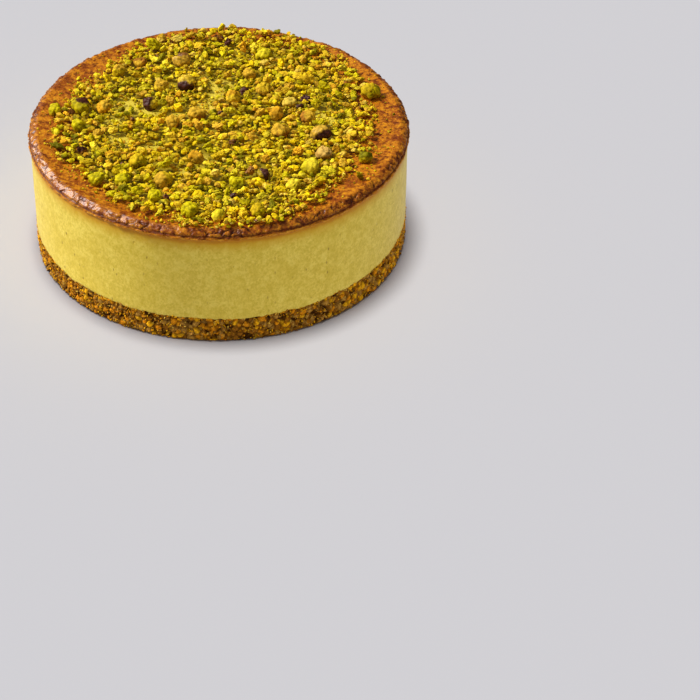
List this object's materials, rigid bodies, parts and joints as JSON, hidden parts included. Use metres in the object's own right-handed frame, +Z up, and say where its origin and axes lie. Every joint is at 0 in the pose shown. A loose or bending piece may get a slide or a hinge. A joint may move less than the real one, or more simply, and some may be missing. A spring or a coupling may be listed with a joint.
{
  "type": "baked cheesecake",
  "caption": "Whole round baked cheesecake with a pressed crumb base, a browned raised rim and chopped green nuts on top.",
  "frame": {"origin": "on the table, under the middle of the cake", "axes": "+Z up through the middle of the cake; -Y towards the front of the cake as shown, +X to its right"},
  "size_m": [0.2011, 0.2009, 0.0757],
  "materials": {
    "crumb_base": "coarse toasted biscuit crumb, matte",
    "filling": "smooth baked cream cheese, pale green with a glossy browned rim",
    "nut_roasted": "roasted chopped nut, tan, matte",
    "nut_skinned": "chopped nut with dark purple skin, matte",
    "nut_green": "bright green chopped nut, matte",
    "nut_pale": "pale yellow green chopped nut, matte"
  },
  "bodies": {
    "root": {"crumb_base": "crumb_base", "filling": "filling", "nut_roasted_01": "nut_roasted", "nut_skinned_02": "nut_skinned", "nut_skinned_03": "nut_skinned", "nut_skinned_04": "nut_skinned", "nut_roasted_05": "nut_roasted", "nut_pale_06": "nut_pale", "nut_roasted_07": "nut_roasted", "nut_roasted_08": "nut_roasted", "nut_skinned_09": "nut_skinned", "nut_roasted_10": "nut_roasted", "nut_roasted_11": "nut_roasted", "nut_roasted_12": "nut_roasted", "nut_roasted_13": "nut_roasted", "nut_roasted_14": "nut_roasted", "nut_roasted_15": "nut_roasted", "nut_roasted_16": "nut_roasted", "nut_roasted_17": "nut_roasted", "nut_green_18": "nut_green", "nut_pale_19": "nut_pale", "nut_pale_20": "nut_pale", "nut_green_21": "nut_green", "nut_roasted_22": "nut_roasted", "nut_green_23": "nut_green", "nut_pale_24": "nut_pale", "nut_green_25": "nut_green", "nut_skinned_26": "nut_skinned", "nut_green_27": "nut_green", "nut_roasted_28": "nut_roasted", "nut_roasted_29": "nut_roasted", "nut_green_30": "nut_green", "nut_green_31": "nut_green", "nut_pale_32": "nut_pale", "nut_roasted_33": "nut_roasted", "nut_roasted_34": "nut_roasted", "nut_roasted_35": "nut_roasted", "nut_green_36": "nut_green", "nut_green_37": "nut_green"}
  },
  "joints": []
}
